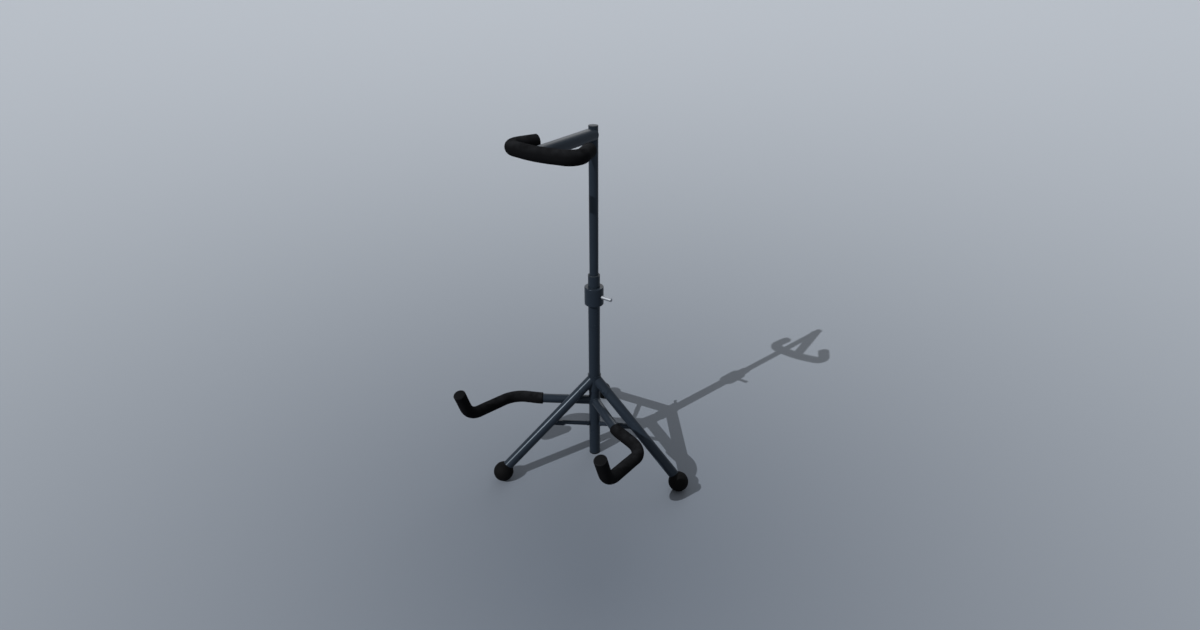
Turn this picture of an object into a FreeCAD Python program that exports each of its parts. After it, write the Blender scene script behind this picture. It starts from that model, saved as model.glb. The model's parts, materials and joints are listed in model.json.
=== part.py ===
import FreeCAD
import Part
import math
import os

Vector = FreeCAD.Vector
UP = Vector(0, 0, 1)
ORIGIN = Vector(0, 0, 0)

# Driving dimensions, in millimetres.
# The column axis is Z, the floor is z = 0 and the instrument stands on the -Y side.

# Column: the lower tube, with a plug at the floor and a bush at its mouth.
column_od = 22.0
column_wall = 1.5
column_mouth_height = 404.8
foot_plug_flange = 2.0
foot_plug_spigot = 14.0
foot_plug_wall = 3.0
bush_flange = 1.6
bush_edge = 0.7
bush_length = 26.0

# Mast: the upper tube that slides and turns in the column.
mast_od = 16.4
mast_wall = 1.2
mast_above_neck = 17.1
mast_drop = 180.0
piston_length = 12.0
piston_stub = 14.0
piston_stop_gap = 6.0
mast_cap_top = 1.5
mast_cap_spigot = 8.0

# Clamp collar round the column, with its lock screw along +X.
collar_od = 35.4
collar_height = 35.0
collar_below_mouth = 23.8
collar_edge = 1.4
clamp_screw_od = 7.0
clamp_screw_proud = 21.0
insert_wall = 1.4
pad_thickness = 1.9
screw_slot_width = 1.2
screw_slot_depth = 1.4
screw_end_chamfer = 0.6

# Neck arm, which drops and tapers a little towards its end, and the padded neck cradle it carries.
neck_height = 651.6
neck_arm_rise = 2.6
neck_arm_root_od = 22.0
neck_arm_end_od = 21.6
neck_arm_past_rod = 2.0
neck_arm_wall = 1.8
neck_saddle_depth = 18.0
neck_screw_od = 5.0
neck_screw_head_od = 9.0
neck_screw_head_height = 2.4
neck_screw_bite = 9.0
cradle_rod_od = 12.0
cradle_rod_wall = 1.5
cradle_sleeve_od = 23.8
cradle_tip_half_gap = 50.6
cradle_tip_reach = 81.0
cradle_corner_half_width = 69.9
cradle_corner_reach = 134.9
cradle_crown_reach = 146.7
cradle_corner_bend = 20.0
cradle_crown_bend = 146.0
cradle_plug_head = 2.5
cradle_plug_spigot = 10.0

# Body arms: each runs out to an elbow, turns forward and hooks up at its tip.
arm_od = 18.0
arm_wall = 1.5
arm_sleeve_od = 23.2
arm_root_height = 130.2
arm_elbow_out = 92.0
arm_elbow_forward = 59.0
arm_elbow_rise = 1.3
arm_bend_out = 155.4
arm_bend_forward = 66.3
arm_bend_drop = 13.0
arm_hook_out = 159.4
arm_hook_forward = 187.6
arm_hook_rise = 7.8
arm_tip_out = 158.5
arm_tip_forward = 207.8
arm_tip_rise = 67.4
arm_elbow_radius = 20.0
arm_bend_radius = 33.0
arm_hook_radius = 42.0
arm_plug_head = 3.0
arm_plug_spigot = 12.0

# Tripod: three legs on a sliding hub, each tied to the column by a brace.
# A leg runs into its ball foot a little above the ball's middle.
leg_azimuths = {"right": 0.0, "back": 120.0, "left": 240.0}
leg_od = 20.0
leg_wall = 1.5
leg_top_height = 185.4
leg_aim_rise = 3.3
foot_spread = 197.3
foot_od = 38.2
foot_flat_depth = 0.35
foot_socket_depth = 9.0
leg_pivot_reach = 34.0
leg_fold_angle = 31.0
hub_wall = 1.8
hub_bottom_height = 156.0
hub_top_height = 191.0
tongue_thickness = 7.6
knuckle_shoulder = 24.0
knuckle_spigot = 16.0
leg_pin_od = 5.0
leg_pin_head_od = 8.0
leg_pin_head_height = 1.3
leg_pin_seat_depth = 0.9

# Lock boss at the back of the hub, above the back leg.
lock_boss_height = 205.0
lock_boss_wall = 5.0
lock_boss_half_angle = 40.0
lock_screw_od = 5.0
lock_screw_proud = 13.0
lock_insert_depth = 4.0

# Braces, with a forked end at the column and a flattened end inside the leg.
brace_od = 8.6
brace_root_height = 71.6
brace_meets_leg = 123.2
brace_pivot_radius = 16.5
brace_pin_below_axis = 4.0
brace_lug_thickness = 2.6
brace_lug_radius = 4.2
brace_lug_foot = 6.0
brace_flat_thickness = 4.0
brace_flat_length = 15.5
brace_taper_length = 8.0
brace_slot_wall = 1.5
brace_pin_od = 3.2
brace_pin_head_od = 5.6
brace_pin_head_height = 1.1
brace_fork_flat = 3.7
brace_seat_depth = 0.5

# Clearances, edges and small tolerances.
plug_edge = 0.8
running_fit = 0.08
seat_fit = 0.05
side_play = 0.2
swing_gap = 0.4
sleeve_fit = 0.1
sleeve_notch_gap = 0.2
pad_gap = 0.2
same_size = 1e-6
fold_steps = 40

# Sizes that follow from the driving ones.
column_radius = column_od / 2
column_bore = column_radius - column_wall
mast_radius = mast_od / 2
mast_bore = mast_radius - mast_wall
piston_bottom = foot_plug_flange + foot_plug_spigot + piston_stop_gap + mast_drop
mast_bottom = piston_bottom + piston_length
mast_top_height = neck_height + mast_above_neck
neck_root = Vector(0, 0, neck_height + neck_arm_rise)
collar_top = column_mouth_height - collar_below_mouth
collar_bottom = collar_top - collar_height
clamp_height = (collar_top + collar_bottom) / 2
arm_elbow = Vector(arm_elbow_out, -arm_elbow_forward, arm_root_height + arm_elbow_rise)
arm_bend = Vector(arm_bend_out, -arm_bend_forward, arm_root_height - arm_bend_drop)
arm_hook = Vector(arm_hook_out, -arm_hook_forward, arm_root_height + arm_hook_rise)
arm_tip = Vector(arm_tip_out, -arm_tip_forward, arm_root_height + arm_tip_rise)
leg_radius = leg_od / 2
leg_bore = leg_radius - leg_wall
foot_radius = foot_od / 2
foot_centre_height = foot_radius - foot_flat_depth
brace_radius = brace_od / 2
hub_bore = column_radius + running_fit
hub_radius = hub_bore + hub_wall
leg_fall = leg_top_height - foot_centre_height - leg_aim_rise
leg_length = math.hypot(foot_spread, leg_fall)
leg_slope = math.degrees(math.atan2(leg_fall, foot_spread))
parts = {}


# Geometry helpers.

def unit(vector):
    return vector / vector.Length


def bar(start, end, radius):
    return Part.makeCylinder(radius, (end - start).Length, start, end - start)


def tapered(start, end, start_radius, end_radius):
    """A round bar whose radius changes evenly from its start to its end."""
    way = unit(end - start)
    side = unit(way.cross(UP))
    outline = [start, start + side * start_radius, end + side * end_radius, end, start]
    return Part.Face(Part.makePolygon(outline)).revolve(start, way, 360)


def pipe(start, end, outer, inner):
    return bar(start, end, outer).cut(bar(start, end, inner))


def joined(solids):
    return solids[0].fuse(solids[1:]).removeSplitter()


def block(low, high):
    return Part.makeBox(high.x - low.x, high.y - low.y, high.z - low.z, low)


def ring_face(centre, direction, outer, inner):
    face = Part.Face(Part.Wire(Part.makeCircle(outer, centre, direction)))
    if inner == 0:
        return face
    return face.cut(Part.Face(Part.Wire(Part.makeCircle(inner, centre, direction)))).Faces[0]


def bent_tube(corners, bend_radii, outer, inner=0.0):
    """A round tube along straight runs joined by tangent arcs."""
    pieces = []
    start = corners[0]
    for corner, after, bend in zip(corners[1:-1], corners[2:], bend_radii):
        ahead = unit(corner - start)
        onward = unit(after - corner)
        turn = ahead.getAngle(onward)
        setback = bend * math.tan(turn / 2)
        bend_start = corner - ahead * setback
        axis = unit(ahead.cross(onward))
        centre = bend_start + axis.cross(ahead) * bend
        pieces.append(ring_face(start, ahead, outer, inner).extrude(bend_start - start))
        arc_face = ring_face(bend_start, ahead, outer, inner)
        pieces.append(arc_face.revolve(centre, axis, math.degrees(turn)))
        start = corner + onward * setback
    last = corners[-1] - start
    pieces.append(ring_face(start, unit(last), outer, inner).extrude(last))
    return joined(pieces)


def mirrored(shape):
    return shape.mirror(ORIGIN, Vector(1, 0, 0))


def turned(shape, azimuth):
    copy = shape.copy()
    copy.rotate(ORIGIN, UP, azimuth)
    return copy


def laid_along(shape, start, slope):
    """Moves a shape drawn along local +X to start, sloping down by slope degrees in the XZ plane."""
    copy = shape.copy()
    copy.rotate(ORIGIN, Vector(0, 1, 0), slope)
    copy.translate(start)
    return copy


def across(radius, half_length, x=0.0, z=0.0):
    """A pin along Y, centred on the XZ plane."""
    return Part.makeCylinder(radius, 2 * half_length, Vector(x, -half_length, z), Vector(0, 1, 0))


def domed_head(base, direction, radius, height):
    """A rivet head: a cap of a sphere on a flat seat."""
    sphere_radius = (radius ** 2 + height ** 2) / (2 * height)
    centre = base - direction * (sphere_radius - height)
    ball = Part.makeSphere(sphere_radius, centre)
    return ball.common(Part.makeCylinder(radius, height, base, direction))


def rivet(shank_radius, half_grip, head_radius, head_height, x=0.0, z=0.0):
    """A rivet along Y with a domed head at each end of its grip."""
    solids = [across(shank_radius, half_grip, x, z)]
    for side in (-1, 1):
        base = Vector(x, side * half_grip, z)
        solids.append(domed_head(base, Vector(0, side, 0), head_radius, head_height))
    return joined(solids)


def seat_cuts(head_radius, half_grip, reach, x=0.0, z=0.0):
    """Two spot faces across Y, outside half_grip."""
    whole = across(head_radius, reach, x, z)
    return whole.cut(across(head_radius, half_grip, x, z))


def keep(name, shape):
    parts[name] = shape


# Column.

def make_column():
    tube_bottom = Vector(0, 0, foot_plug_flange)
    tube_top = Vector(0, 0, column_mouth_height - bush_flange)
    tube = pipe(tube_bottom, tube_top, column_radius, column_bore)
    screw_way = bar(
        Vector(0, 0, clamp_height),
        Vector(column_od, 0, clamp_height),
        clamp_screw_od / 2 + side_play,
    )
    keep("column_tube", tube.cut(screw_way))

    flange = bar(ORIGIN, tube_bottom, column_radius)
    spigot_top = tube_bottom + UP * foot_plug_spigot
    spigot_radius = column_bore - seat_fit
    spigot = pipe(tube_bottom, spigot_top, spigot_radius, spigot_radius - foot_plug_wall)
    keep("column_foot_plug", flange.fuse(spigot))

    mouth = Vector(0, 0, column_mouth_height)
    bush_bottom = tube_top - UP * bush_length
    flange = bar(tube_top, mouth, column_radius)
    rims = [edge for edge in flange.Edges if is_rim(edge, column_radius)]
    upper_rims = [rim for rim in rims if rim.Curve.Center.isEqual(mouth, same_size)]
    flange = flange.makeFillet(bush_edge, upper_rims)
    bush = bar(bush_bottom, tube_top, column_bore - seat_fit).fuse(flange)
    keep("mast_guide_bush", bush.cut(bar(bush_bottom, mouth, mast_radius + running_fit)))


# Mast.

def make_mast():
    bottom = Vector(0, 0, mast_bottom)
    top = Vector(0, 0, mast_top_height - mast_cap_top)
    tube = pipe(bottom, top, mast_radius, mast_bore)
    keep("mast_tube", tube.cut(neck_screw_way()))

    cap_top = top + UP * mast_cap_top
    cap = bar(top - UP * mast_cap_spigot, top, mast_bore - seat_fit).fuse(bar(top, cap_top, mast_radius))
    keep("mast_cap", cap)

    piston = bar(Vector(0, 0, piston_bottom), bottom, column_bore - running_fit)
    stub = bar(bottom, bottom + UP * piston_stub, mast_bore - running_fit)
    keep("mast_piston", piston.fuse(stub))


# Lock screws: a pad, a screw and its insert, drawn along local +X.

def screw_set(screw_od, face_radius, insert_inner, insert_outer, screw_end):
    """Returns pad, screw and insert for a screw that presses on a round face."""
    pad_inner = face_radius + pad_gap
    pad_outer = pad_inner + pad_thickness
    screw_radius = screw_od / 2
    pad = bar(Vector(pad_inner, 0, 0), Vector(pad_outer, 0, 0), screw_radius - side_play)
    chamfer_start = Vector(screw_end - screw_end_chamfer, 0, 0)
    shank = bar(Vector(pad_outer, 0, 0), chamfer_start, screw_radius)
    end = Part.makeCone(
        screw_radius,
        screw_radius - screw_end_chamfer,
        screw_end_chamfer,
        chamfer_start,
        Vector(1, 0, 0),
    )
    slot = block(
        Vector(screw_end - screw_slot_depth, -screw_od, -screw_slot_width / 2),
        Vector(screw_end + screw_slot_depth, screw_od, screw_slot_width / 2),
    )
    screw = shank.fuse(end).cut(slot)
    insert = pipe(
        Vector(insert_inner, 0, 0),
        Vector(insert_outer, 0, 0),
        screw_radius + running_fit + insert_wall,
        screw_radius + running_fit,
    )
    return pad, screw, insert


def raised(shape, height):
    copy = shape.copy()
    copy.translate(UP * height)
    return copy


def make_clamp():
    bottom = Vector(0, 0, collar_bottom)
    top = Vector(0, 0, collar_top)
    collar_radius = collar_od / 2
    collar = pipe(bottom, top, collar_radius, column_radius + seat_fit)
    rims = [edge for edge in collar.Edges if is_rim(edge, collar_radius)]
    collar = collar.makeFillet(collar_edge, rims)

    insert_inner = column_radius + side_play
    pad, screw, insert = screw_set(
        clamp_screw_od,
        mast_radius,
        insert_inner,
        collar_radius,
        collar_radius + clamp_screw_proud,
    )
    insert_way = bar(
        Vector(0, 0, clamp_height),
        Vector(collar_od, 0, clamp_height),
        clamp_screw_od / 2 + running_fit + insert_wall + seat_fit,
    )
    keep("clamp_collar", collar.cut(insert_way))
    keep("clamp_insert", raised(insert, clamp_height))
    keep("clamp_pad", raised(pad, clamp_height))
    keep("clamp_screw", raised(screw, clamp_height))


def is_rim(edge, radius):
    curve = edge.Curve
    return isinstance(curve, Part.Circle) and abs(curve.Radius - radius) < same_size


# Neck arm and cradle.

def neck_screw_way():
    reach = Vector(0, mast_od, 0)
    return bar(neck_root + reach, neck_root - reach, neck_screw_od / 2 + seat_fit)


def shortened(tip, corner, length):
    """The point a length along a tube from its tip, towards its next corner; past the tip when below zero."""
    return tip + unit(corner - tip) * length


def cradle_path(end_gap=0.0):
    """The cradle's centre line, from left to right, ending a gap short of the prongs' tips."""
    points = []
    for side in (-1, 1):
        tip = Vector(side * cradle_tip_half_gap, -cradle_tip_reach, neck_height)
        corner = Vector(side * cradle_corner_half_width, -cradle_corner_reach, neck_height)
        points.append([shortened(tip, corner, end_gap), corner])
    crown = Vector(0, -cradle_crown_reach, neck_height)
    left, right = points
    corners = left + [crown] + right[::-1]
    return corners, [cradle_corner_bend, cradle_crown_bend, cradle_corner_bend]


def cradle_middle_reach():
    """How far forward the crossbar's middle lies, inside its crown corner."""
    rise = cradle_crown_reach - cradle_corner_reach
    half_turn = math.atan2(rise, cradle_corner_half_width)
    return cradle_crown_reach - cradle_crown_bend * (1 / math.cos(half_turn) - 1)


def make_neck():
    corners, bends = cradle_path(cradle_plug_head)
    rod_radius = cradle_rod_od / 2
    rod_bore = rod_radius - cradle_rod_wall
    end_radius = neck_arm_end_od / 2
    middle = Vector(0, -cradle_middle_reach(), neck_height)
    keep("cradle_rod", bent_tube(corners, bends, rod_radius, rod_bore))

    arm_end = shortened(middle, neck_root, -neck_arm_past_rod)
    arm = tapered(neck_root, arm_end, neck_arm_root_od / 2, end_radius)
    hollow_start = shortened(neck_root, middle, neck_saddle_depth)
    hollow = bar(hollow_start, arm_end, end_radius - neck_arm_wall)
    saddle_height = UP * neck_arm_root_od
    mast_way = bar(neck_root - saddle_height, neck_root + saddle_height, mast_radius + seat_fit)
    rod_way = bent_tube(corners, bends, rod_radius + seat_fit)
    screw_bite_end = neck_root - Vector(0, mast_radius + neck_screw_bite, 0)
    screw_hole = bar(neck_root, screw_bite_end, neck_screw_od / 2 + seat_fit)
    keep("neck_arm", arm.cut([hollow, mast_way, rod_way, screw_hole]))

    head_seat = neck_root + Vector(0, mast_radius + seat_fit, 0)
    head = domed_head(head_seat, Vector(0, 1, 0), neck_screw_head_od / 2, neck_screw_head_height)
    keep("neck_screw", head.fuse(bar(head_seat, screw_bite_end, neck_screw_od / 2)))

    sleeve_corners, _ = cradle_path()
    sleeve = bent_tube(sleeve_corners, bends, cradle_sleeve_od / 2, rod_radius + sleeve_fit)
    notch_end = arm_end - Vector(0, sleeve_fit, 0)
    notch = bar(neck_root, notch_end, end_radius + sleeve_notch_gap)
    keep("cradle_sleeve", sleeve.cut(notch))

    plugs = []
    for tip, corner in ((corners[0], corners[1]), (corners[-1], corners[-2])):
        plugs.append(end_plug(tip, corner, rod_radius, rod_bore, cradle_plug_head, cradle_plug_spigot))
    keep("cradle_end_plugs", Part.makeCompound(plugs))


def end_plug(tube_end, inward, head_radius, bore, head_height, spigot_length):
    """A plug in a tube's open end, with a flat head against the rim."""
    inward_way = unit(inward - tube_end)
    crown = tube_end - inward_way * head_height
    head = bar(crown, tube_end, head_radius)
    rims = [edge for edge in head.Edges if is_rim(edge, head_radius)]
    outer_rims = [rim for rim in rims if rim.Curve.Center.isEqual(crown, same_size)]
    head = head.makeFillet(plug_edge, outer_rims)
    return head.fuse(bar(tube_end, tube_end + inward_way * spigot_length, bore - seat_fit))


# Body arms.

def make_arms():
    root = Vector(0, 0, arm_root_height)
    bore = arm_od / 2 - arm_wall
    tube_end = shortened(arm_tip, arm_hook, arm_plug_head)
    corners = [root, arm_elbow, arm_bend, arm_hook, tube_end]
    bends = [arm_elbow_radius, arm_bend_radius, arm_hook_radius]
    column_way = bar(ORIGIN, Vector(0, 0, column_mouth_height), column_radius + seat_fit)
    tube = bent_tube(corners, bends, arm_od / 2, bore).cut(column_way)

    ahead = unit(arm_elbow - root)
    turn = ahead.getAngle(arm_bend - arm_elbow)
    sleeve_start = arm_elbow - ahead * (arm_elbow_radius * math.tan(turn / 2))
    sleeve_corners = [sleeve_start - ahead, arm_elbow, arm_bend, arm_hook, arm_tip]
    sleeve = bent_tube(sleeve_corners, bends, arm_sleeve_od / 2, arm_od / 2 + sleeve_fit)
    plug = end_plug(tube_end, arm_hook, arm_od / 2, bore, arm_plug_head, arm_plug_spigot)

    for name, shape in (("arm", tube), ("arm_sleeve", sleeve), ("arm_plug", plug)):
        keep("right_" + name, shape)
        keep("left_" + name, mirrored(shape))


# Tripod linkage, worked out in the XZ plane of the leg at azimuth 0.

leg_way = Vector(math.cos(math.radians(leg_slope)), 0, -math.sin(math.radians(leg_slope)))
leg_pivot = Vector(0, 0, leg_top_height) + leg_way * leg_pivot_reach
leg_meeting = Vector(0, 0, leg_top_height) + leg_way * brace_meets_leg
brace_way = unit(leg_meeting - Vector(0, 0, brace_root_height))
brace_pivot = Vector(0, 0, brace_root_height) + brace_way * (brace_pivot_radius / brace_way.x)
brace_slope = -math.degrees(math.atan2(brace_way.z, brace_way.x))
brace_leg_angle = leg_way.getAngle(brace_way)
brace_pin = leg_meeting - brace_way * (brace_pin_below_axis / math.sin(brace_leg_angle))
brace_length = (brace_pin - brace_pivot).Length


def swung(vector, degrees):
    """Turns a vector in the XZ plane, upwards from +X for positive degrees."""
    angle = math.radians(degrees)
    return Vector(
        vector.x * math.cos(angle) - vector.z * math.sin(angle),
        0,
        vector.x * math.sin(angle) + vector.z * math.cos(angle),
    )


def folded_linkage():
    """Hub lift and brace turn that close the linkage when the legs are fully folded."""
    arm = swung(brace_pin - leg_pivot, -leg_fold_angle)
    pin_radius = leg_pivot.x + arm.x
    pin_height = brace_pivot.z + math.sqrt(brace_length ** 2 - (pin_radius - brace_pivot.x) ** 2)
    lift = pin_height - arm.z - leg_pivot.z
    folded = math.degrees(math.atan2(pin_height - brace_pivot.z, pin_radius - brace_pivot.x))
    return lift, folded + brace_slope


def pin_play():
    """How far the leg's pin strays from the brace's end, along and across the brace, while folding."""
    lift, brace_turn = folded_linkage()
    along = []
    aside = []
    for step in range(fold_steps + 1):
        share = step / fold_steps
        on_leg = leg_pivot + UP * (lift * share) + swung(brace_pin - leg_pivot, -leg_fold_angle * share)
        on_brace = brace_pivot + swung(brace_pin - brace_pivot, brace_turn * share)
        stray = on_leg - on_brace
        way = swung(brace_way, brace_turn * share)
        along.append(stray.dot(way))
        aside.append(stray.dot(swung(way, 90)))
    return min(along), max(along), min(aside), max(aside)


# Hub and legs.

def stub_shape(radius):
    """A hub stub drawn along local X towards the leg, ending in a round about the pivot."""
    root = bar(Vector(-leg_pivot_reach, 0, 0), ORIGIN, radius)
    round_end = across(radius, radius).common(bar(Vector(-radius, 0, 0), Vector(radius, 0, 0), radius))
    return root.fuse(round_end)


def make_hub():
    slot_half = tongue_thickness / 2 + side_play
    slot_radius = leg_radius + swing_gap
    stub = stub_shape(leg_radius)
    slot = across(slot_radius, slot_half).fuse(
        block(Vector(0, -slot_half, -leg_od), Vector(leg_od, slot_half, leg_od))
    )
    pin_half_grip = leg_radius - leg_pin_seat_depth
    pin_way = across(leg_pin_od / 2, leg_radius)
    seats = seat_cuts(leg_pin_head_od / 2 + side_play, pin_half_grip, leg_od)
    stub = stub.cut([slot, pin_way, seats])
    pin = rivet(leg_pin_od / 2, pin_half_grip, leg_pin_head_od / 2, leg_pin_head_height)

    sleeve = bar(Vector(0, 0, hub_bottom_height), Vector(0, 0, hub_top_height), hub_radius)
    column_way = bar(ORIGIN, Vector(0, 0, column_mouth_height), hub_bore)
    stubs = [turned(laid_along(stub, leg_pivot, leg_slope), azimuth) for azimuth in leg_azimuths.values()]
    boss, screw_way, screw_pieces = make_lock()
    keep("leg_hub", joined([sleeve, boss] + stubs).cut([column_way, screw_way]))
    pins = [turned(laid_along(pin, leg_pivot, leg_slope), azimuth) for azimuth in leg_azimuths.values()]
    keep("leg_hinge_pins", Part.makeCompound(pins))
    for name, shape in screw_pieces.items():
        keep(name, shape)


def make_lock():
    """The lock boss behind the hub with the way for its screw, and the screw's pieces."""
    boss_radius = hub_bore + lock_boss_wall
    screw_height = (hub_top_height + lock_boss_height) / 2
    boss = Part.makeCylinder(
        boss_radius,
        lock_boss_height - hub_bottom_height,
        Vector(0, 0, hub_bottom_height),
        UP,
        2 * lock_boss_half_angle,
    )
    boss = turned(boss, leg_azimuths["back"] - lock_boss_half_angle)
    pad, screw, insert = screw_set(
        lock_screw_od,
        column_radius,
        boss_radius - lock_insert_depth,
        boss_radius,
        boss_radius + lock_screw_proud,
    )
    insert_radius = lock_screw_od / 2 + running_fit + insert_wall + seat_fit
    insert_inner = Vector(boss_radius - lock_insert_depth, 0, 0)
    screw_way = bar(ORIGIN, Vector(boss_radius, 0, 0), lock_screw_od / 2 + running_fit)
    insert_way = bar(insert_inner, Vector(2 * boss_radius, 0, 0), insert_radius)

    def at_back(shape):
        return turned(raised(shape, screw_height), leg_azimuths["back"])

    pieces = {
        "hub_lock_pad": at_back(pad),
        "hub_lock_screw": at_back(screw),
        "hub_lock_insert": at_back(insert),
    }
    return boss, at_back(screw_way.fuse(insert_way)), pieces


def make_legs():
    full_round = bar(Vector(-leg_radius, 0, 0), Vector(knuckle_shoulder, 0, 0), leg_radius)
    tongue_outline = across(leg_radius, tongue_thickness / 2).fuse(
        block(
            Vector(0, -tongue_thickness / 2, -leg_radius),
            Vector(knuckle_shoulder, tongue_thickness / 2, leg_radius),
        )
    )
    tongue = full_round.common(tongue_outline)
    shoulder = bar(ORIGIN, Vector(knuckle_shoulder, 0, 0), leg_radius)
    folded_stub = stub_shape(leg_radius + swing_gap)
    folded_stub.rotate(ORIGIN, Vector(0, 1, 0), -leg_fold_angle)
    shoulder = shoulder.cut([across(leg_radius + swing_gap, leg_od), folded_stub])
    spigot_start = Vector(knuckle_shoulder, 0, 0)
    spigot = bar(spigot_start, spigot_start + Vector(knuckle_spigot, 0, 0), leg_bore - seat_fit)
    knuckle = joined([shoulder, tongue, spigot]).cut(across(leg_pin_od / 2 + running_fit, leg_od))

    foot_reach = leg_length - leg_pivot_reach
    tube_end = Vector(foot_reach + foot_socket_depth, 0, 0)
    tube = pipe(spigot_start, tube_end, leg_radius, leg_bore)
    pin_x = (brace_pin - leg_pivot).dot(leg_way)
    pin_z = -brace_pin_below_axis
    flank = math.sqrt(leg_radius ** 2 - brace_pin_below_axis ** 2)
    pin_half_grip = flank - brace_seat_depth
    pin_way = across(brace_pin_od / 2, leg_od, pin_x, pin_z)
    seats = seat_cuts(brace_pin_head_od / 2 + side_play, pin_half_grip, leg_od, pin_x, pin_z)
    tube = tube.cut([pin_way, seats, leg_slot(pin_x, pin_z)])
    pin = rivet(brace_pin_od / 2, pin_half_grip, brace_pin_head_od / 2, brace_pin_head_height, pin_x, pin_z)

    for side, azimuth in leg_azimuths.items():
        for name, shape in (("leg_knuckle", knuckle), ("leg_tube", tube), ("brace_pin", pin)):
            keep(side + "_" + name, turned(laid_along(shape, leg_pivot, leg_slope), azimuth))
        keep(side + "_foot", turned(foot_shape(tube_end), azimuth))


def leg_slot(pin_x, pin_z):
    """The slot in the leg's underside that the brace's flattened end swings in."""
    _, brace_turn = folded_linkage()
    low, high = brace_flat_band()
    rest_angle = math.degrees(brace_leg_angle)
    half_width = brace_flat_thickness / 2 + swing_gap
    reaches = []
    for angle in (rest_angle, rest_angle + leg_fold_angle + brace_turn):
        lean = math.radians(angle)
        for depth in (leg_bore, leg_radius):
            middle = pin_x - (depth + pin_z) / math.tan(lean)
            reaches.append(middle - high / math.sin(lean))
            reaches.append(middle - low / math.sin(lean))
    start = min(reaches) - swing_gap
    end = max(reaches) + swing_gap
    return block(Vector(start, -half_width, -leg_od), Vector(end, half_width, pin_z))


def foot_shape(tube_end):
    """A ball foot on the end of a leg, with a small flat on the floor."""
    centre = Vector(foot_spread, 0, foot_centre_height)
    ball = Part.makeSphere(foot_radius, centre)
    floor = block(Vector(0, -foot_od, -foot_od), Vector(2 * foot_spread, foot_od, 0))
    socket = laid_along(bar(ORIGIN, tube_end, leg_radius + seat_fit), leg_pivot, leg_slope)
    return ball.cut([floor, socket])


# Braces.

def brace_flat_band():
    """The flattened end's lower and upper edge, either side of its pin slot."""
    _, _, aside_low, aside_high = pin_play()
    margin = brace_pin_od / 2 + swing_gap + brace_slot_wall
    return aside_low - margin, aside_high + margin


def make_braces():
    along_low, along_high, aside_low, aside_high = pin_play()
    slot_reach = brace_pin_od / 2 + swing_gap
    low, high = brace_flat_band()
    half = brace_flat_thickness / 2
    flat_start = brace_length - brace_flat_length
    taper_start = flat_start - brace_taper_length
    corner = (high - low) / 2
    middle = (high + low) / 2
    slot_start = brace_length + along_low - slot_reach
    slot_end = brace_length + along_high + slot_reach
    corner_depth = corner - math.sqrt(corner ** 2 - (corner - brace_slot_wall) ** 2)
    tip = slot_end + corner_depth + brace_slot_wall

    rod = bar(ORIGIN, Vector(taper_start, 0, 0), brace_radius)
    round_end = across(brace_radius, brace_radius).common(
        bar(Vector(-brace_radius, 0, 0), Vector(brace_radius, 0, 0), brace_radius)
    )
    taper = Part.makeCone(brace_radius, half, brace_taper_length, Vector(taper_start, 0, 0), Vector(1, 0, 0))
    flat = block(Vector(taper_start, -half, low), Vector(tip - corner, half, high)).fuse(
        across(corner, half, tip - corner, middle)
    )
    nose = across(corner, half, taper_start, middle)
    slot = block(
        Vector(slot_start, -brace_od, aside_low - slot_reach),
        Vector(slot_end, brace_od, aside_high + slot_reach),
    )
    fork_slot_half = brace_lug_thickness / 2 + side_play
    fork_depth = brace_lug_radius + swing_gap
    fork_slot = block(
        Vector(-brace_od, -fork_slot_half, -brace_od), Vector(fork_depth, fork_slot_half, brace_od)
    )
    pin_hole = across(brace_pin_od / 2 + running_fit, brace_od)
    seats = seat_cuts(brace_radius + side_play, brace_fork_flat, brace_od)
    brace = joined([rod, round_end, taper, flat, nose]).cut([slot, fork_slot, pin_hole, seats])

    lug_half = brace_lug_thickness / 2
    lug_foot = block(
        Vector(0, -lug_half, brace_pivot.z - brace_lug_foot),
        Vector(brace_pivot.x, lug_half, brace_pivot.z + brace_lug_radius),
    )
    lug = across(brace_lug_radius, lug_half, brace_pivot.x, brace_pivot.z).fuse(lug_foot)
    column_way = bar(ORIGIN, Vector(0, 0, column_mouth_height), column_radius + seat_fit)
    lug = lug.cut([column_way, across(brace_pin_od / 2, brace_od, brace_pivot.x, brace_pivot.z)])
    pin = rivet(
        brace_pin_od / 2,
        brace_fork_flat + side_play,
        brace_pin_head_od / 2,
        brace_pin_head_height,
        brace_pivot.x,
        brace_pivot.z,
    )

    keep("brace_lugs", Part.makeCompound([turned(lug, azimuth) for azimuth in leg_azimuths.values()]))
    keep("brace_root_pins", Part.makeCompound([turned(pin, azimuth) for azimuth in leg_azimuths.values()]))
    for side, azimuth in leg_azimuths.items():
        keep(side + "_brace", turned(laid_along(brace, brace_pivot, brace_slope), azimuth))


make_column()
make_mast()
make_clamp()
make_neck()
make_arms()
make_hub()
make_legs()
make_braces()

os.makedirs("parts", exist_ok=True)
for name, shape in parts.items():
    shape.exportStep("parts/" + name + ".step")

lift, brace_turn = folded_linkage()
print("nodes", len(parts))
print("hub lift for a full fold", round(lift, 3), "mm, brace turn", round(brace_turn, 3), "degrees")
print("pin play along and across the brace", [round(value, 2) for value in pin_play()])
print("leg pivot", leg_pivot, "brace pivot", brace_pivot, "brace pin", brace_pin)
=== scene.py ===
import json
import math

import bmesh
import bpy
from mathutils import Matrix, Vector, noise


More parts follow.
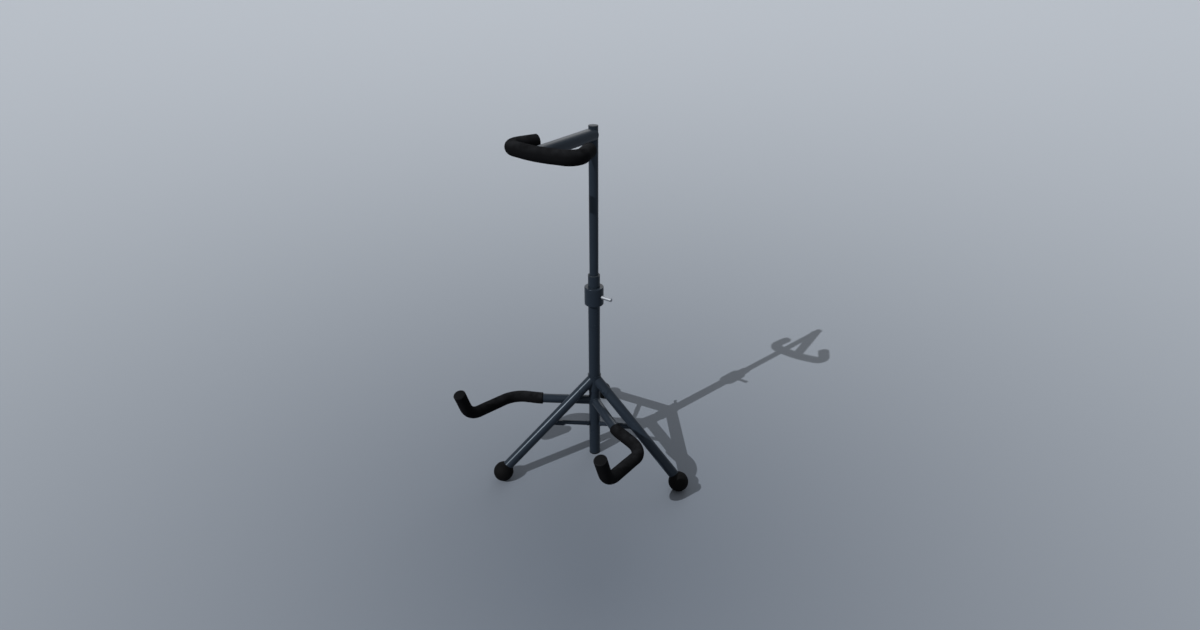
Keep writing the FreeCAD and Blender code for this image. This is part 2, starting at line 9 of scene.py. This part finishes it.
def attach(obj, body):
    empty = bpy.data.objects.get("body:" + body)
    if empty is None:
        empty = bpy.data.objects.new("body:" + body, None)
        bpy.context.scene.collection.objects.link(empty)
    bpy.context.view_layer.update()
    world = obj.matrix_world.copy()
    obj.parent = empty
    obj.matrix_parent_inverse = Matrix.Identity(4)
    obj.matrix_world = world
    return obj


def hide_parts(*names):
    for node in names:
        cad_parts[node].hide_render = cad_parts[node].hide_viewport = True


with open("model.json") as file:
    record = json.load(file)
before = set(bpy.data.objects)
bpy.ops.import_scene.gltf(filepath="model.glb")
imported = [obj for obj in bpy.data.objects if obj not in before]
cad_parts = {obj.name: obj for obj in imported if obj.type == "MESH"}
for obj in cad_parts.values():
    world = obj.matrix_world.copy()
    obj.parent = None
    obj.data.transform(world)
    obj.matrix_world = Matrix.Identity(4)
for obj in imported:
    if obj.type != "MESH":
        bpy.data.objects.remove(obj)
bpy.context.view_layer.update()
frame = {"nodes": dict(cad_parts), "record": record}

MM = 0.001

# Where the photograph was taken from.
camera_place = Vector((0.6214, -0.8726, 0.8883))
camera_heading = 124.872
camera_down = 27.87
camera_lens = 19.497
sensor_width = 36.0
camera_clip_start = 0.02
camera_clip_end = 180.0

# Light: one sun that casts the long shadow, an even sky, and a soft window behind the stand.
sun_azimuth = 254.4
sun_elevation = 39.6
sun_strength = 2.75
sun_spread = 0.25
sky_strength = 0.367
window_azimuth = 110.0
window_elevation = 32.0
window_strength = 2.3
window_inner = 8.0
window_outer = 24.0

# Floor: pale slate, with a painted pool of shade: softly darker round the stand and in front of it.
floor_radius = 60.0
floor_sides = 96
floor_drop = 0.2 * MM
floor_far = (0.479, 0.516, 0.567, 1.0)
floor_near = (0.152, 0.177, 0.215, 1.0)
floor_shade_middle = Vector((0.19, -0.27, 0.0))
floor_shade_reach = 1.4
floor_shade_fade = 1.4

# Foam sleeves, with the run of the tubes that they cover.
foam_sides = 56
foam_step = 2.2 * MM
foam_edge = 1.7 * MM
foam_edge_steps = 5
foam_lump = 0.16 * MM
foam_lump_size = 16 * MM
foam_crease = 0.45 * MM
foam_crease_pitch = 6.5 * MM
arm_outer = 11.6 * MM
arm_bore = 9.1 * MM
arm_root = Vector((0, 0, 130.2)) * MM
arm_elbow = Vector((92.0, -59.0, 131.5)) * MM
arm_bend = Vector((155.4, -66.3, 117.2)) * MM
arm_hook = Vector((159.4, -187.6, 138.0)) * MM
arm_tip = Vector((158.5, -207.8, 197.6)) * MM
arm_bends = [20 * MM, 33 * MM, 42 * MM]
arm_foam_lead = 1.0 * MM
cradle_outer = 11.9 * MM
cradle_bore = 6.1 * MM
cradle_height = 651.6 * MM
neck_root = Vector((0, 0, 654.2)) * MM
neck_arm_past_rod = 2.0 * MM
cradle_tip = Vector((50.6, -81.0)) * MM
cradle_corner = Vector((69.9, -134.9)) * MM
cradle_crown = 146.7 * MM
cradle_bends = [20 * MM, 146 * MM, 20 * MM]
cradle_notch_radius = 11.0 * MM
cradle_notch_margin = 0.1 * MM
notch_sides = 72

# Weld beads where the arms meet the column.
arm_radius = 9.0 * MM
column_radius = 11.0 * MM
weld_radius = 1.2 * MM
weld_ripple = 0.14 * MM
weld_ripples = 34
weld_steps = 136
weld_sides = 10

# An edge between faces that meet at more than this angle is drawn sharp.
sharp_angle = 45.0

# Finishes. Scales count noise cells per metre, and turned_patch_scale counts them per turned mark.
# An edge, a slope or breaks give where a mark starts and where it is full.
# The upward-facing mask lightens tops: dust on every finish, and on the foam also painted light from above.
dust_and_painted_top_light_colour = (0.15, 0.16, 0.18, 1.0)
dust_and_painted_top_light_scale = 60.0
dust_and_painted_top_light_slope = (0.25, 1.0)
dust_and_painted_top_light_breaks = (0.35, 0.7)
dust_dulls = 0.4
rub_size = (1.1 * MM, 1.1 * MM, 60 * MM)
scuff_scale = 420.0
scuff_edge = (0.62, 0.72)
scuff_patch_scale = 28.0
scuff_patch_edge = (0.5, 0.65)
scuff_lightens = 2.2
scuff_dulls = 0.12
coat_dark = (0.0121, 0.0175, 0.0258, 1.0)
coat_light = (0.0167, 0.0235, 0.0335, 1.0)
coat_tint = (0.74, 0.87, 1.0, 1.0)
coat_shine = 0.17
coat_grain_scale = 1100.0
coat_patch_scale = 22.0
coat_grain_depth = 0.06 * MM
coat_bump = 0.35
moulded_patch_scale = 35.0
moulded_bump = 0.5
foam_dark = (0.0042, 0.0044, 0.005, 1.0)
foam_light = (0.0056, 0.0058, 0.0066, 1.0)
# Painted shade for the foam's open cells.
foam_pit_shade_colour = (0.0022, 0.0023, 0.0026, 1.0)
foam_roughness = (0.84, 0.95)
foam_shine = 0.02
foam_dust_and_painted_top_light = 0.08
foam_cell_scale = 900.0
foam_cell_share = 0.6
foam_fine_scale = 1700.0
foam_pit_scale = 620.0
foam_pit_edge = (0.62, 0.74)
foam_patch_scale = 45.0
foam_cell_depth = 0.15 * MM
foam_bump = 0.6
turned_mark_size = (0.4 * MM, 20 * MM, 20 * MM)
turned_patch_scale = 0.23
turned_mark_depth = 0.04 * MM
turned_bump = 0.3


# Mesh work.

class BentLine:
    """A line of straight runs joined by round bends, read by its length."""

    def __init__(self, corners, bends):
        self.runs = []
        self.length = 0.0
        start = corners[0]
        for corner, after, bend in zip(corners[1:-1], corners[2:], bends):
            ahead = (corner - start).normalized()
            onward = (after - corner).normalized()
            turn = ahead.angle(onward)
            setback = bend * math.tan(turn / 2)
            bend_start = corner - ahead * setback
            self._add((bend_start - start).length, start, ahead, None, 0.0)
            inward = ahead.cross(onward).normalized().cross(ahead)
            self._add(bend * turn, bend_start, ahead, inward, bend)
            start = corner + onward * setback
        self._add((corners[-1] - start).length, start, (corners[-1] - start).normalized(), None, 0.0)

    def _add(self, length, start, ahead, inward, bend):
        self.runs.append((self.length, length, start, ahead, inward, bend))
        self.length += length

    def at(self, place):
        """The point, its direction, the way to the bend's middle and how deep into the bend it lies."""
        for begin, length, start, ahead, inward, bend in self.runs:
            if place <= begin + length:
                break
        along = min(max(place - begin, 0.0), length)
        if inward is None:
            return start + ahead * along, ahead, Vector((0, 0, 0)), 0.0
        angle = along / bend
        centre = start + inward * bend
        out = -inward * math.cos(angle) + ahead * math.sin(angle)
        direction = ahead * math.cos(angle) + inward * math.sin(angle)
        return centre + out * bend, direction, -out, math.sin(math.pi * along / length)


def closed_rings(name, rings):
    """A closed skin through rings of points, the last ring joined to the first."""
    mesh = bpy.data.meshes.new(name)
    sides = len(rings[0])
    points = [point for ring in rings for point in ring]
    faces = []
    for row in range(len(rings)):
        after = (row + 1) % len(rings)
        for side in range(sides):
            beside = (side + 1) % sides
            faces.append(
                (row * sides + side, row * sides + beside, after * sides + beside, after * sides + side)
            )
    mesh.from_pydata(points, [], faces)
    shape = bmesh.new()
    shape.from_mesh(mesh)
    bmesh.ops.recalc_face_normals(shape, faces=shape.faces)
    shape.to_mesh(mesh)
    shape.free()
    smooth_faces(mesh)
    piece = bpy.data.objects.new(name, mesh)
    bpy.context.scene.collection.objects.link(piece)
    return piece


def smooth_faces(mesh):
    mesh.polygons.foreach_set("use_smooth", [True] * len(mesh.polygons))
    mesh.set_sharp_from_angle(angle=math.radians(sharp_angle))


def across_ways(line, places):
    """At each place, two steady directions across the line."""
    ways = []
    first = None
    for place in places:
        _, ahead, _, _ = line.at(place)
        if first is None:
            first = ahead.orthogonal()
        first = (first - ahead * first.dot(ahead)).normalized()
        ways.append((first, ahead.cross(first)))
    return ways


def foam_swell(point, out, inward, depth, place):
    """How far the foam stands out from its plain round: slow lumps, and creases inside the bends."""
    lump = foam_lump * noise.noise(point / foam_lump_size)
    inner_side = max(0.0, out.dot(inward))
    crease = 0.5 + 0.5 * math.cos(2 * math.pi * place / foam_crease_pitch)
    return lump - foam_lump - foam_crease * depth * inner_side ** 2 * crease


def foam_sleeve(name, corners, bends, outer, bore):
    line = BentLine(corners, bends)
    edge_angles = [math.pi / 2 * step / foam_edge_steps for step in range(foam_edge_steps + 1)]
    edge = [(foam_edge * (1 - math.cos(angle)), foam_edge * (1 - math.sin(angle))) for angle in edge_angles]
    middle_count = math.ceil((line.length - 2 * foam_edge) / foam_step)
    middle_step = (line.length - 2 * foam_edge) / middle_count
    skin = list(edge)
    skin += [(foam_edge + middle_step * step, 0.0) for step in range(1, middle_count)]
    skin += [(line.length - place, drop) for place, drop in reversed(edge)]
    ways = across_ways(line, [place for place, _ in skin])

    outer_rings = []
    bore_rings = []
    for (place, drop), (first, second) in zip(skin, ways):
        point, _, inward, depth = line.at(place)
        outer_ring = []
        bore_ring = []
        for side in range(foam_sides):
            angle = 2 * math.pi * side / foam_sides
            out = first * math.cos(angle) + second * math.sin(angle)
            swell = foam_swell(point + out * outer, out, inward, depth, place)
            outer_ring.append(point + out * (outer - drop + swell))
            bore_ring.append(point + out * bore)
        outer_rings.append(outer_ring)
        bore_rings.append(bore_ring)
    return closed_rings(name, outer_rings + bore_rings[::-1])


def cut_with_bar(piece, start, end, radius):
    """Cuts a round way out of a piece."""
    mesh = bpy.data.meshes.new("cutting_bar")
    shape = bmesh.new()
    bmesh.ops.create_cone(
        shape,
        cap_ends=True,
        segments=notch_sides,
        radius1=radius,
        radius2=radius,
        depth=(end - start).length,
    )
    shape.to_mesh(mesh)
    shape.free()
    bar = bpy.data.objects.new("cutting_bar", mesh)
    bpy.context.scene.collection.objects.link(bar)
    bar.rotation_mode = "QUATERNION"
    bar.rotation_quaternion = (end - start).to_track_quat("Z", "Y")
    bar.location = (start + end) / 2
    cut = piece.modifiers.new("notch", "BOOLEAN")
    cut.operation = "DIFFERENCE"
    cut.solver = "EXACT"
    cut.object = bar
    bpy.context.view_layer.update()
    result = bpy.data.meshes.new_from_object(piece.evaluated_get(bpy.context.evaluated_depsgraph_get()))
    piece.modifiers.clear()
    piece.data = result
    smooth_faces(result)
    bpy.data.objects.remove(bar)


def weld_bead(name, way):
    """A rippled bead round an arm where it meets the column."""
    level = Vector((0, 0, 1)).cross(way).normalized()
    upright = way.cross(level)
    points = []
    normals = []
    for step in range(weld_steps):
        angle = 2 * math.pi * step / weld_steps
        from_axis = level * math.cos(angle) + upright * math.sin(angle)
        side = arm_root + from_axis * arm_radius
        square = way.x ** 2 + way.y ** 2
        half = side.x * way.x + side.y * way.y
        rest = side.x ** 2 + side.y ** 2 - column_radius ** 2
        point = side + way * ((-half + math.sqrt(half ** 2 - square * rest)) / square)
        points.append(point)
        normals.append((from_axis + Vector((point.x, point.y, 0)).normalized()).normalized())
    rings = []
    for step in range(weld_steps):
        ahead = (points[(step + 1) % weld_steps] - points[step - 1]).normalized()
        out = (normals[step] - ahead * normals[step].dot(ahead)).normalized()
        aside = ahead.cross(out)
        ripple = weld_ripple * math.sin(2 * math.pi * weld_ripples * step / weld_steps)
        ring = []
        for side in range(weld_sides):
            angle = 2 * math.pi * side / weld_sides
            away = out * math.cos(angle) + aside * math.sin(angle)
            ring.append(points[step] + away * (weld_radius + ripple))
        rings.append(ring)
    return closed_rings(name, rings)


def flipped(point):
    return Vector((-point.x, point.y, point.z))


# Shader work.

def add(tree, kind, **values):
    made = tree.nodes.new("ShaderNode" + kind)
    for label, value in values.items():
        feed(tree, value, made.inputs[label.replace("_", " ")])
    return made


def feed(tree, source, socket):
    if isinstance(source, bpy.types.NodeSocket):
        tree.links.new(source, socket)
    else:
        socket.default_value = source


def sums(tree, operation, first, second=0.0):
    made = tree.nodes.new("ShaderNodeMath")
    made.operation = operation
    feed(tree, first, made.inputs[0])
    feed(tree, second, made.inputs[1])
    return made.outputs[0]


def stretched(tree, vector, sizes):
    """Coordinates counted in the given sizes along X, Y and Z."""
    made = tree.nodes.new("ShaderNodeVectorMath")
    made.operation = "DIVIDE"
    feed(tree, vector, made.inputs[0])
    made.inputs[1].default_value = sizes
    return made.outputs[0]


def spread(tree, value, low, high, start=0.0, end=1.0):
    made = tree.nodes.new("ShaderNodeMapRange")
    feed(tree, value, made.inputs["Value"])
    made.inputs["From Min"].default_value = start
    made.inputs["From Max"].default_value = end
    made.inputs["To Min"].default_value = low
    made.inputs["To Max"].default_value = high
    return made.outputs["Result"]


def mask(tree, value, edge):
    """Nothing below the edge's first value, all above its second."""
    return spread(tree, value, 0.0, 1.0, *edge)


def tint(tree, share, under, over):
    made = tree.nodes.new("ShaderNodeMix")
    made.data_type = "RGBA"
    feed(tree, share, made.inputs[0])
    feed(tree, under, made.inputs[6])
    feed(tree, over, made.inputs[7])
    return made.outputs[2]


def cloud(tree, vector, scale, detail=2.0):
    return add(tree, "TexNoise", Vector=vector, Scale=scale, Detail=detail).outputs[0]


def new_group(name, inputs, outputs):
    tree = bpy.data.node_groups.new(name, "ShaderNodeTree")
    for label, kind in inputs:
        tree.interface.new_socket(label, in_out="INPUT", socket_type="NodeSocket" + kind)
    for label in outputs:
        tree.interface.new_socket(label, in_out="OUTPUT", socket_type="NodeSocketFloat")
    return tree, tree.nodes.new("NodeGroupInput").outputs, tree.nodes.new("NodeGroupOutput").inputs


def make_skin_grain():
    """A fine even grain with slow shade changes: powder coat, moulded plastic and rubber."""
    tree, given, gives = new_group(
        "skin_grain",
        [("Place", "Vector"), ("Grain Scale", "Float"), ("Patch Scale", "Float")],
        ["Height", "Tone"],
    )
    feed(tree, cloud(tree, given["Place"], given["Grain Scale"]), gives["Height"])
    feed(tree, cloud(tree, given["Place"], given["Patch Scale"], detail=4.0), gives["Tone"])
    return tree


def make_dust_and_painted_top_light():
    """Thin dust on what faces up, broken by handling; on the foam the lighter tops are also painted light
    from above.
    """
    tree, given, gives = new_group(
        "dust_and_painted_top_light", [("Place", "Vector"), ("Facing", "Vector"), ("Amount", "Float")], ["Mask"]
    )
    split = add(tree, "SeparateXYZ", Vector=given["Facing"])
    upward = mask(tree, split.outputs["Z"], dust_and_painted_top_light_slope)
    broken = mask(tree, cloud(tree, given["Place"], dust_and_painted_top_light_scale, detail=5.0), dust_and_painted_top_light_breaks)
    feed(tree, sums(tree, "MULTIPLY", sums(tree, "MULTIPLY", upward, broken), given["Amount"]), gives["Mask"])
    return tree


def make_scuffs():
    """Long thin rubs and small scuffs in a finish."""
    tree, given, gives = new_group("scuffs", [("Place", "Vector"), ("Share", "Float")], ["Mask"])
    rubs = cloud(tree, stretched(tree, given["Place"], rub_size), 1.0, detail=3.0)
    spots = cloud(tree, given["Place"], scuff_scale, detail=4.0)
    patches = mask(tree, cloud(tree, given["Place"], scuff_patch_scale), scuff_patch_edge)
    marks = mask(tree, sums(tree, "MAXIMUM", rubs, spots), scuff_edge)
    feed(tree, sums(tree, "MULTIPLY", sums(tree, "MULTIPLY", marks, patches), given["Share"]), gives["Mask"])
    return tree


def make_foam_cells():
    """The closed skin of foam: small cells, a few open ones, and slow shade changes."""
    tree, given, gives = new_group("foam_cells", [("Place", "Vector")], ["Height", "Pits", "Tone"])
    cells = tree.nodes.new("ShaderNodeTexVoronoi")
    feed(tree, given["Place"], cells.inputs["Vector"])
    cells.inputs["Scale"].default_value = foam_cell_scale
    fine = cloud(tree, given["Place"], foam_fine_scale, detail=3.0)
    coarse = sums(tree, "MULTIPLY", cells.outputs["Distance"], foam_cell_share)
    feed(tree, sums(tree, "ADD", coarse, fine), gives["Height"])
    feed(tree, mask(tree, cloud(tree, given["Place"], foam_pit_scale), foam_pit_edge), gives["Pits"])
    feed(tree, cloud(tree, given["Place"], foam_patch_scale, detail=4.0), gives["Tone"])
    return tree


def make_turned_marks():
    """Fine rings left by turning, drawn along one axis."""
    tree, given, gives = new_group("turned_marks", [("Place", "Vector")], ["Height", "Tone"])
    feed(tree, cloud(tree, given["Place"], 1.0, detail=3.0), gives["Height"])
    feed(tree, cloud(tree, given["Place"], turned_patch_scale), gives["Tone"])
    return tree


skin_grain = make_skin_grain()
dust_and_painted_top_light = make_dust_and_painted_top_light()
scuffs = make_scuffs()
foam_cells = make_foam_cells()
turned_marks = make_turned_marks()


def place_group(tree, group, **values):
    made = tree.nodes.new("ShaderNodeGroup")
    made.node_tree = group
    for label, value in values.items():
        feed(tree, value, made.inputs[label.replace("_", " ")])
    return made.outputs


def new_finish(name):
    material = bpy.data.materials.new(name)
    material.use_nodes = True
    tree = material.node_tree
    shader = next(node for node in tree.nodes if node.type == "BSDF_PRINCIPLED")
    place = tree.nodes.new("ShaderNodeTexCoord")
    return material, tree, shader, place.outputs["Object"], place.outputs["Normal"]


def raise_skin(tree, shader, height, depth, strength):
    bump = tree.nodes.new("ShaderNodeBump")
    bump.inputs["Strength"].default_value = strength
    bump.inputs["Distance"].default_value = depth
    feed(tree, height, bump.inputs["Height"])
    feed(tree, bump.outputs["Normal"], shader.inputs["Normal"])


def coated_steel(name, smooth, rough, scuff_share, dust):
    """Satin powder coat on steel."""
    material, tree, shader, place, facing = new_finish(name)
    grain = place_group(
        tree, skin_grain, Place=place, Grain_Scale=coat_grain_scale, Patch_Scale=coat_patch_scale
    )
    marks = place_group(tree, scuffs, Place=place, Share=scuff_share)["Mask"]
    layer = place_group(tree, dust_and_painted_top_light, Place=place, Facing=facing, Amount=dust)["Mask"]
    paint = tint(tree, grain["Tone"], coat_dark, coat_light)
    rubbed = tint(tree, marks, paint, [scuff_lightens * part for part in coat_light[:3]] + [1.0])
    feed(tree, tint(tree, layer, rubbed, dust_and_painted_top_light_colour), shader.inputs["Base Color"])
    gloss = spread(tree, grain["Tone"], smooth, rough)
    dusty = sums(tree, "ADD", gloss, sums(tree, "MULTIPLY", layer, dust_dulls))
    dulled = sums(tree, "ADD", dusty, sums(tree, "MULTIPLY", marks, scuff_dulls))
    feed(tree, dulled, shader.inputs["Roughness"])
    shader.inputs["Specular IOR Level"].default_value = coat_shine
    shader.inputs["Specular Tint"].default_value = coat_tint
    raise_skin(tree, shader, grain["Height"], coat_grain_depth, coat_bump)
    return material


def moulded(name, dark, light, smooth, rough, shine, grain_scale, depth, dust):
    """Moulded plastic or rubber with a fine etched skin."""
    material, tree, shader, place, facing = new_finish(name)
    grain = place_group(
        tree, skin_grain, Place=place, Grain_Scale=grain_scale, Patch_Scale=moulded_patch_scale
    )
    layer = place_group(tree, dust_and_painted_top_light, Place=place, Facing=facing, Amount=dust)["Mask"]
    skin = tint(tree, grain["Tone"], dark, light)
    feed(tree, tint(tree, layer, skin, dust_and_painted_top_light_colour), shader.inputs["Base Color"])
    feed(tree, spread(tree, grain["Tone"], smooth, rough), shader.inputs["Roughness"])
    shader.inputs["Specular IOR Level"].default_value = shine
    raise_skin(tree, shader, grain["Height"], depth, moulded_bump)
    return material


def foam_finish():
    material, tree, shader, place, facing = new_finish("black_foam")
    cells = place_group(tree, foam_cells, Place=place)
    # The foam's lighter tops are partly dust and partly painted light from above.
    layer = place_group(tree, dust_and_painted_top_light, Place=place, Facing=facing, Amount=foam_dust_and_painted_top_light)["Mask"]
    skin = tint(tree, cells["Tone"], foam_dark, foam_light)
    # Open cells are painted darker: painted shade inside the cells.
    pitted = tint(tree, cells["Pits"], skin, foam_pit_shade_colour)
    feed(tree, tint(tree, layer, pitted, dust_and_painted_top_light_colour), shader.inputs["Base Color"])
    feed(tree, spread(tree, cells["Tone"], *foam_roughness), shader.inputs["Roughness"])
    shader.inputs["Specular IOR Level"].default_value = foam_shine
    raise_skin(tree, shader, cells["Height"], foam_cell_depth, foam_bump)
    return material


def turned_metal(name, dark, light, smooth, rough):
    """Turned metal, with fine rings across its X axis."""
    material, tree, shader, place, _ = new_finish(name)
    marks = place_group(tree, turned_marks, Place=stretched(tree, place, turned_mark_size))
    feed(tree, tint(tree, marks["Tone"], dark, light), shader.inputs["Base Color"])
    feed(tree, spread(tree, marks["Height"], smooth, rough), shader.inputs["Roughness"])
    shader.inputs["Metallic"].default_value = 1.0
    raise_skin(tree, shader, marks["Height"], turned_mark_depth, turned_bump)
    return material


finishes = {
    "tube_paint": coated_steel("slate_coat", smooth=0.25, rough=0.32, scuff_share=0.35, dust=0.03),
    "foam": foam_finish(),
    "foot_rubber": moulded(
        "foot_rubber",
        dark=(0.0026, 0.0026, 0.0028, 1.0),
        light=(0.004, 0.004, 0.0043, 1.0),
        smooth=0.66,
        rough=0.8,
        shine=0.06,
        grain_scale=700.0,
        depth=0.1 * MM,
        dust=0.01,
    ),
    "black_plastic": moulded(
        "black_plastic",
        dark=(0.003, 0.0032, 0.0037, 1.0),
        light=(0.0045, 0.0048, 0.0055, 1.0),
        smooth=0.66,
        rough=0.8,
        shine=0.06,
        grain_scale=900.0,
        depth=0.06 * MM,
        dust=0.01,
    ),
    "cap_plastic": moulded(
        "slate_plastic",
        dark=(0.018, 0.024, 0.031, 1.0),
        light=(0.024, 0.031, 0.039, 1.0),
        smooth=0.42,
        rough=0.55,
        shine=0.2,
        grain_scale=900.0,
        depth=0.06 * MM,
        dust=0.03,
    ),
    "bright_steel": turned_metal(
        "bright_zinc", dark=(0.33, 0.35, 0.375, 1.0), light=(0.41, 0.43, 0.46, 1.0), smooth=0.55, rough=0.7
    ),
    "rivet_steel": coated_steel("coated_rivet", smooth=0.3, rough=0.4, scuff_share=0.6, dust=0.04),
    "brass": turned_metal(
        "turned_brass", dark=(0.6, 0.44, 0.19, 1.0), light=(0.74, 0.58, 0.29, 1.0), smooth=0.24, rough=0.4
    ),
    "bare_rod": coated_steel("coated_rod", smooth=0.38, rough=0.48, scuff_share=0.2, dust=0.02),
}

for subpart in frame["record"]["subparts"]:
    node = frame["nodes"][subpart["node"]]
    node.data.materials.clear()
    node.data.materials.append(finishes[subpart["material_slot"]])


# Foam sleeves.

def dress(piece, slot_name, body):
    piece.data.materials.clear()
    piece.data.materials.append(finishes[slot_name])
    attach(piece, body)
    return piece


arm_ahead = (arm_elbow - arm_root).normalized()
arm_turn = arm_ahead.angle(arm_bend - arm_elbow)
foam_start = arm_elbow - arm_ahead * (arm_bends[0] * math.tan(arm_turn / 2) + arm_foam_lead)
right_line = [foam_start, arm_elbow, arm_bend, arm_hook, arm_tip]
for side, line in (("right", right_line), ("left", [flipped(point) for point in right_line])):
    sleeve = dress(foam_sleeve(side + "_arm_foam", line, arm_bends, arm_outer, arm_bore), "foam", "column")
    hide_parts(side + "_arm_sleeve")

right_half = [
    Vector((cradle_tip.x, cradle_tip.y, cradle_height)),
    Vector((cradle_corner.x, cradle_corner.y, cradle_height)),
]
crown = Vector((0, -cradle_crown, cradle_height))
cradle_line = [flipped(point) for point in right_half] + [crown] + right_half[::-1]
cradle = foam_sleeve("cradle_foam", cradle_line, cradle_bends, cradle_outer, cradle_bore)
crown_turn = math.atan2(cradle_crown + cradle_corner.y, cradle_corner.x)
crossbar_reach = cradle_crown - cradle_bends[1] * (1 / math.cos(crown_turn) - 1)
crossbar_middle = Vector((0, -crossbar_reach, cradle_height))
neck_way = (crossbar_middle - neck_root).normalized()
notch_end = crossbar_middle + neck_way * (neck_arm_past_rod + cradle_notch_margin)
cut_with_bar(cradle, neck_root, notch_end, cradle_notch_radius)
dress(cradle, "foam", "mast")
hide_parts("cradle_sleeve")

for side, way in (("right", arm_ahead), ("left", flipped(arm_ahead))):
    dress(weld_bead(side + "_arm_weld", way), "tube_paint", "column")


# Floor, light and camera.

def lay_floor():
    mesh = bpy.data.meshes.new("floor")
    shape = bmesh.new()
    bmesh.ops.create_circle(shape, cap_ends=True, segments=floor_sides, radius=floor_radius)
    shape.to_mesh(mesh)
    shape.free()
    floor = bpy.data.objects.new("floor", mesh)
    floor.location.z = -floor_drop
    bpy.context.scene.collection.objects.link(floor)
    material = bpy.data.materials.new("pale_floor")
    material.use_nodes = True
    tree = material.node_tree
    shader = next(node for node in tree.nodes if node.type == "BSDF_PRINCIPLED")
    # Painted shade: the floor's colour darkens towards floor_shade_middle.
    away = tree.nodes.new("ShaderNodeVectorMath")
    away.operation = "DISTANCE"
    feed(tree, tree.nodes.new("ShaderNodeNewGeometry").outputs["Position"], away.inputs[0])
    away.inputs[1].default_value = floor_shade_middle
    reaches = sums(tree, "DIVIDE", away.outputs["Value"], floor_shade_reach)
    fade = sums(tree, "ADD", sums(tree, "POWER", reaches, floor_shade_fade), 1.0)
    shade = sums(tree, "DIVIDE", 1.0, fade)
    feed(tree, tint(tree, shade, floor_far, floor_near), shader.inputs["Base Color"])
    shader.inputs["Roughness"].default_value = 1.0
    shader.inputs["Specular IOR Level"].default_value = 0.0
    mesh.materials.append(material)


def sky_way(azimuth, elevation):
    """The direction from the stand to a place in the sky."""
    turn = math.radians(azimuth)
    rise = math.radians(elevation)
    return Vector((math.cos(turn) * math.cos(rise), math.sin(turn) * math.cos(rise), math.sin(rise)))


def hang_sun():
    lamp = bpy.data.lights.new("sun", "SUN")
    lamp.energy = sun_strength
    lamp.angle = math.radians(sun_spread)
    sun = bpy.data.objects.new("sun", lamp)
    bpy.context.scene.collection.objects.link(sun)
    sun.rotation_mode = "QUATERNION"
    sun.rotation_quaternion = (-sky_way(sun_azimuth, sun_elevation)).to_track_quat("-Z", "Y")


def light_sky():
    world = bpy.data.worlds.new("sky")
    bpy.context.scene.world = world
    world.use_nodes = True
    tree = world.node_tree
    background = next(node for node in tree.nodes if node.type == "BACKGROUND")
    path = tree.nodes.new("ShaderNodeLightPath").outputs
    seen = sums(tree, "MAXIMUM", path["Is Camera Ray"], path["Is Glossy Ray"])
    seen = sums(tree, "MAXIMUM", seen, path["Is Transmission Ray"])
    plain = (sky_strength, sky_strength, sky_strength, 1.0)
    nearness = tree.nodes.new("ShaderNodeVectorMath")
    nearness.operation = "DOT_PRODUCT"
    feed(tree, tree.nodes.new("ShaderNodeTexCoord").outputs["Generated"], nearness.inputs[0])
    nearness.inputs[1].default_value = sky_way(window_azimuth, window_elevation)
    edge = [math.cos(math.radians(angle)) for angle in (window_outer, window_inner)]
    window = mask(tree, nearness.outputs["Value"], edge)
    window = sums(tree, "MULTIPLY", window, sums(tree, "SUBTRACT", 1.0, path["Is Camera Ray"]))
    lit = (window_strength, window_strength, window_strength, 1.0)
    even = tint(tree, seen, plain, floor_far)
    feed(tree, tint(tree, window, even, lit), background.inputs["Color"])
    background.inputs["Strength"].default_value = 1.0


def set_camera():
    data = bpy.data.cameras.new("camera")
    data.lens = camera_lens
    data.sensor_width = sensor_width
    data.sensor_fit = "HORIZONTAL"
    data.clip_start = camera_clip_start
    data.clip_end = camera_clip_end
    camera = bpy.data.objects.new("camera", data)
    bpy.context.scene.collection.objects.link(camera)
    camera.location = camera_place
    camera.rotation_mode = "QUATERNION"
    camera.rotation_quaternion = sky_way(camera_heading, -camera_down).to_track_quat("-Z", "Y")
    bpy.context.scene.camera = camera


lay_floor()
hang_sun()
light_sky()
set_camera()
bpy.context.scene.view_settings.view_transform = "Standard"
